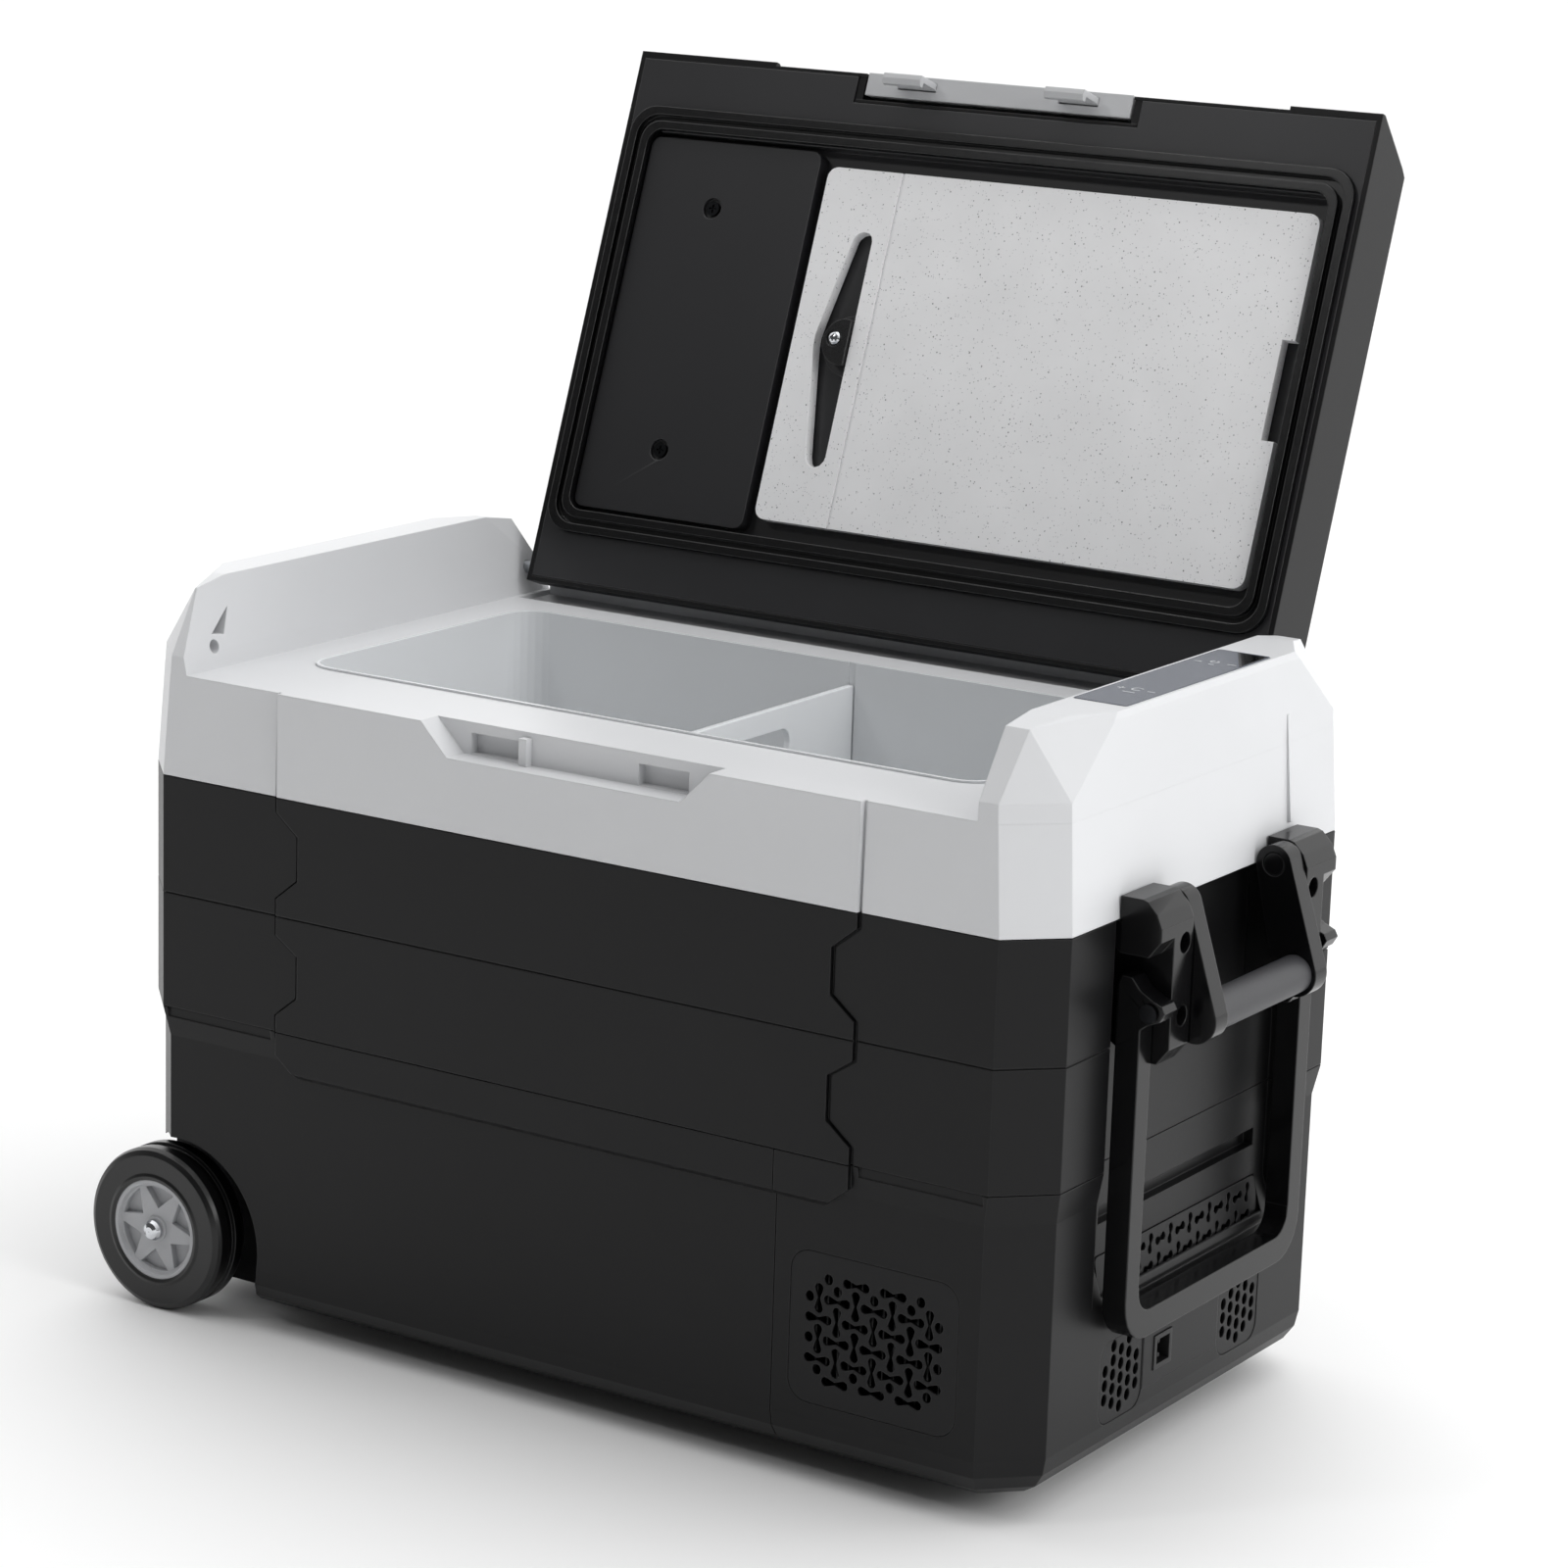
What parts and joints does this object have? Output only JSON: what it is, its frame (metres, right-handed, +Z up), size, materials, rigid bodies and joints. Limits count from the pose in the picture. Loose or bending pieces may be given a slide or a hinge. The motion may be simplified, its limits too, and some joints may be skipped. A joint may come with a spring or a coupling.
{
  "type": "compressor cooler fridge",
  "caption": "Wheeled portable compressor cooler fridge with a hinged lid, a cutting board under the lid, a split tub, a carry handle and a swing-up pull handle.",
  "frame": {"origin": "on the floor under the middle of the body, halfway along its length and its depth", "axes": "+X along the body towards the handle end, -Y out of the long side with the latch, +Z up"},
  "size_m": [0.6655, 0.4648, 0.7027],
  "materials": {
    "dark_shell": "satin",
    "dark_trim": "satin",
    "pale_frame": "satin",
    "white_liner": "gloss",
    "foam": "matte",
    "steel_sheet": "satin",
    "panel_slate": "gloss",
    "circuit_board": "satin",
    "socket_black": "satin",
    "handle_black": "satin",
    "dark_screw": "satin",
    "grip_grey": "matte",
    "steel_rod": "satin",
    "tyre_black": "matte",
    "hub_grey": "satin",
    "chrome_cap": "polished",
    "foot_rubber": "matte",
    "board_speckled": "matte",
    "knob_black": "satin",
    "latch_grey": "satin",
    "compressor_black": "satin",
    "aluminium_sheet": "satin",
    "coated_fins": "matte",
    "fan_black": "satin",
    "copper_pipe": "satin"
  },
  "bodies": {
    "body": {"base_shell": "dark_shell", "upper_shell": "dark_shell", "compressor_cover": "dark_shell", "top_frame": "pale_frame", "tub_liner": "white_liner", "foam_insulation": "foam", "bay_bulkhead": "steel_sheet", "base_plate": "steel_sheet", "control_panel": "panel_slate", "display_board": "circuit_board", "front_grille": "dark_trim", "end_grilles": "dark_trim", "recess_grille": "dark_trim", "socket_plate": "dark_trim", "dc_socket": "socket_black", "handle_brackets": "handle_black", "bracket_screws": "dark_screw", "carry_pivot_pins": "handle_black", "pull_pivot_pins": "dark_screw", "axle": "steel_rod", "axle_caps": "chrome_cap", "rubber_feet": "foot_rubber", "foot_screws": "steel_rod", "hinge_pins": "steel_rod", "compressor": "compressor_black", "compressor_grommets": "foot_rubber", "condenser": "coated_fins", "fan_frame": "fan_black", "filter_drier": "copper_pipe", "refrigerant_pipes": "copper_pipe", "evaporator": "aluminium_sheet", "control_board": "circuit_board"},
    "lid": {"lid_shell": "dark_shell", "lid_liner": "dark_trim", "lid_foam": "foam", "lid_gasket": "foot_rubber", "lid_side_panel": "dark_trim", "side_panel_screws": "dark_screw", "knob_screw": "chrome_cap", "latch_pin": "steel_rod"},
    "latch": {"latch_lever": "latch_grey", "latch_hooks": "latch_grey"},
    "board_knob": {"board_knob": "knob_black"},
    "cutting_board": {"cutting_board": "board_speckled"},
    "divider": {"divider": "white_liner"},
    "carry_handle": {"carry_arm_front": "handle_black", "carry_arm_back": "handle_black", "carry_grip": "grip_grey", "carry_grip_rod": "steel_rod"},
    "pull_handle": {"pull_handle": "handle_black"},
    "wheel_front": {"wheel_tyre_front": "tyre_black", "wheel_hub_front": "hub_grey"},
    "wheel_back": {"wheel_tyre_back": "tyre_black", "wheel_hub_back": "hub_grey"},
    "fan_rotor": {"fan_rotor": "fan_black"}
  },
  "joints": [
    {"name": "lid_hinge", "type": "hinge", "parent": "body", "child": "lid", "pos_m": [0, 0.154, 0.3912], "axis": [-1, 0, 0], "range_deg": [-109.4, 0]},
    {"name": "latch_lever", "type": "hinge", "parent": "lid", "child": "latch", "pos_m": [0.003, 0.2666, 0.68445], "axis": [-1, 0, 0], "range_deg": [0, 18], "stiffness_Nm_per_rad": 0.12},
    {"name": "board_knob_turn", "type": "hinge", "parent": "lid", "child": "board_knob", "pos_m": [-0.0704, 0.19725, 0.54772], "axis": [0, -0.9432, 0.3322], "range_deg": [0, 90]},
    {"name": "cutting_board_lift", "type": "slide", "parent": "lid", "child": "cutting_board", "axis": [0, -0.9432, 0.3322], "range_m": [0, 0.045]},
    {"name": "divider_lift", "type": "slide", "parent": "body", "child": "divider", "axis": [0, 0, 1], "range_m": [0, 0.32]},
    {"name": "carry_handle", "type": "hinge", "parent": "body", "child": "carry_handle", "pos_m": [0.3115, 0, 0.319], "axis": [0, -1, 0], "range_deg": [0, 80]},
    {"name": "pull_handle", "type": "hinge", "parent": "body", "child": "pull_handle", "pos_m": [0.32, 0, 0.271], "axis": [0, -1, 0], "range_deg": [0, 165]},
    {"name": "wheel_front", "type": "hinge", "parent": "body", "child": "wheel_front", "pos_m": [-0.277, -0.164, 0.048], "axis": [0, 1, 0], "continuous": true},
    {"name": "wheel_back", "type": "hinge", "parent": "body", "child": "wheel_back", "pos_m": [-0.277, 0.164, 0.048], "axis": [0, 1, 0], "continuous": true},
    {"name": "fan", "type": "hinge", "parent": "body", "child": "fan_rotor", "pos_m": [0.206, -0.119, 0.088], "axis": [0, 1, 0], "continuous": true}
  ]
}
